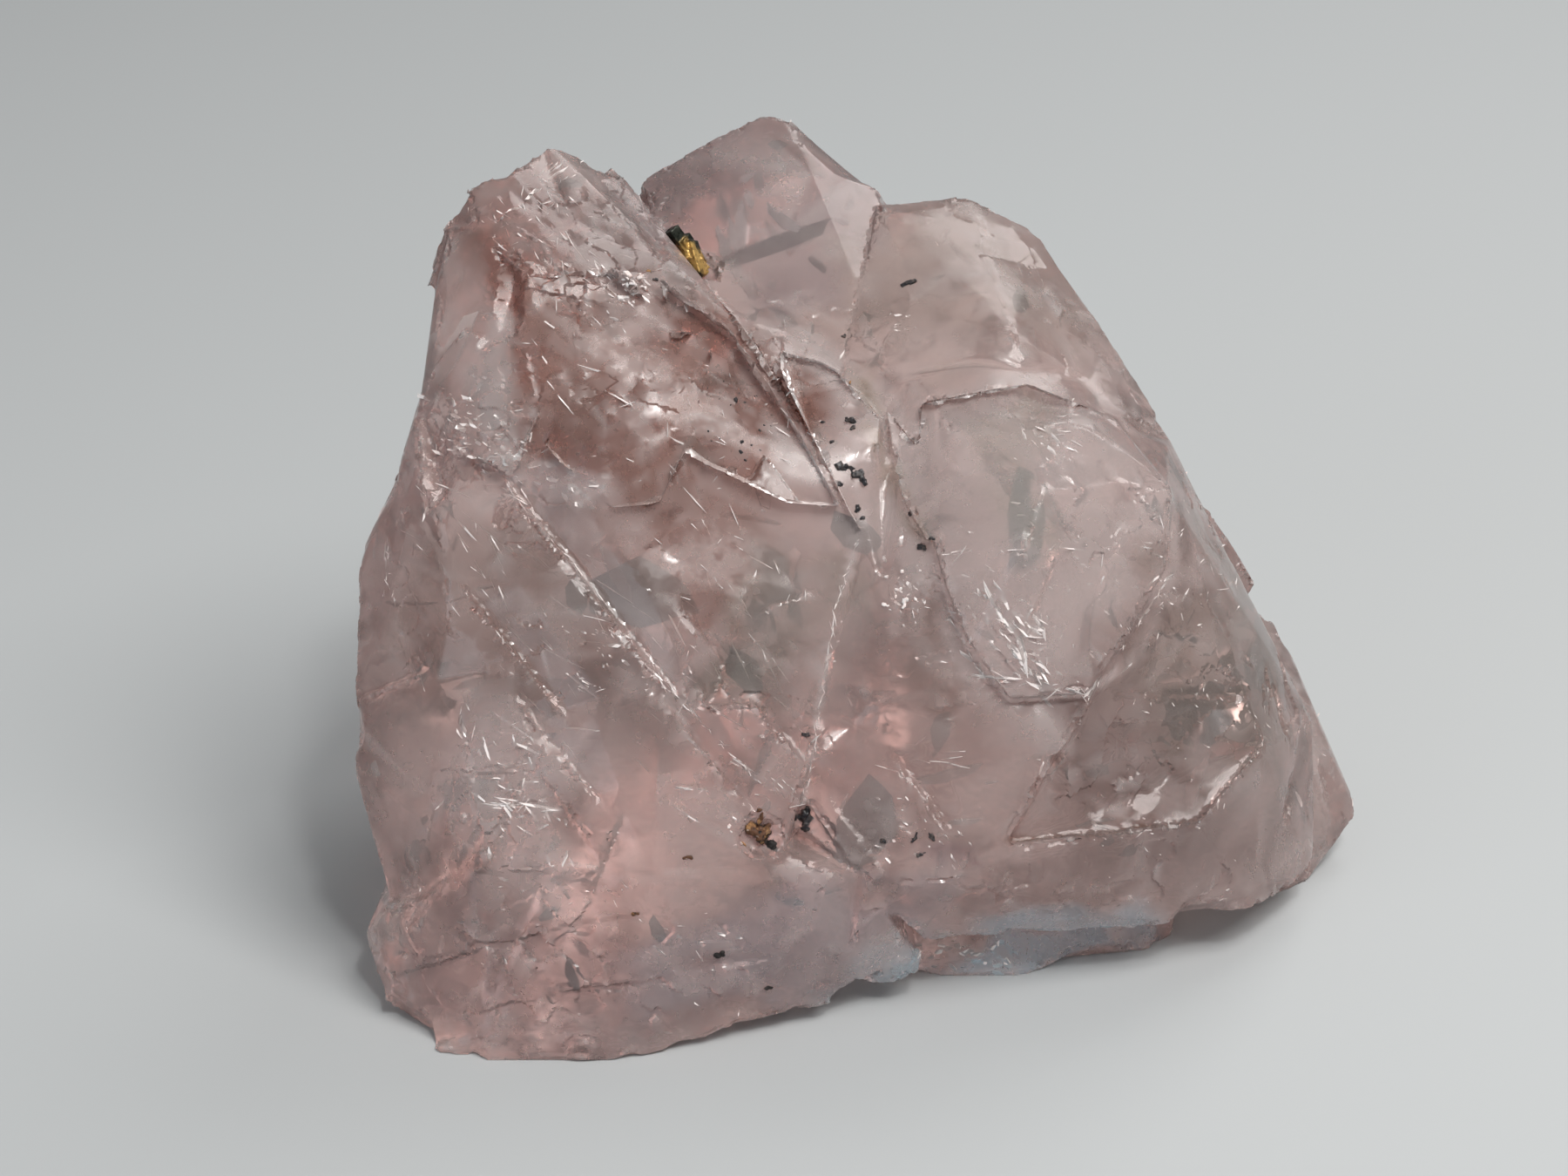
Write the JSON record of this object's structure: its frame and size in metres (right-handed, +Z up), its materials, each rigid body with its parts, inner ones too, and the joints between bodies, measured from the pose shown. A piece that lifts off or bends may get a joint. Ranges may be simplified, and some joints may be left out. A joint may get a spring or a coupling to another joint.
{
  "type": "fluorite specimen",
  "caption": "Hand-sized cleavage fragment of pale pink translucent fluorite with a flat broken foot and small dark, rusty and golden mineral grains.",
  "frame": {"origin": "middle of the bounding box, at the level of the flat foot that the stone rests on", "axes": "+X to the right as seen from the front, +Y toward the back, +Z up, away from the foot"},
  "size_m": [0.0532, 0.0444, 0.0386],
  "materials": {
    "fluorite": "pale pink-brown translucent crystal with fresh glassy cleavage steps, whitish veils inside and frosted, chipped edges",
    "golden_sulphide": "dull golden sulphide with a dark tarnish",
    "rusty_oxide": "matt rusty brown and black crumbly oxide",
    "black_mineral": "black to dark grey grains with a slight metallic lustre"
  },
  "bodies": {
    "root": {"fluorite_body": "fluorite", "golden_sulphide_grain": "golden_sulphide", "rusty_oxide_grain": "rusty_oxide", "black_grain_lower": "black_mineral", "black_grain_middle": "black_mineral", "black_grain_upper": "black_mineral"}
  },
  "joints": []
}
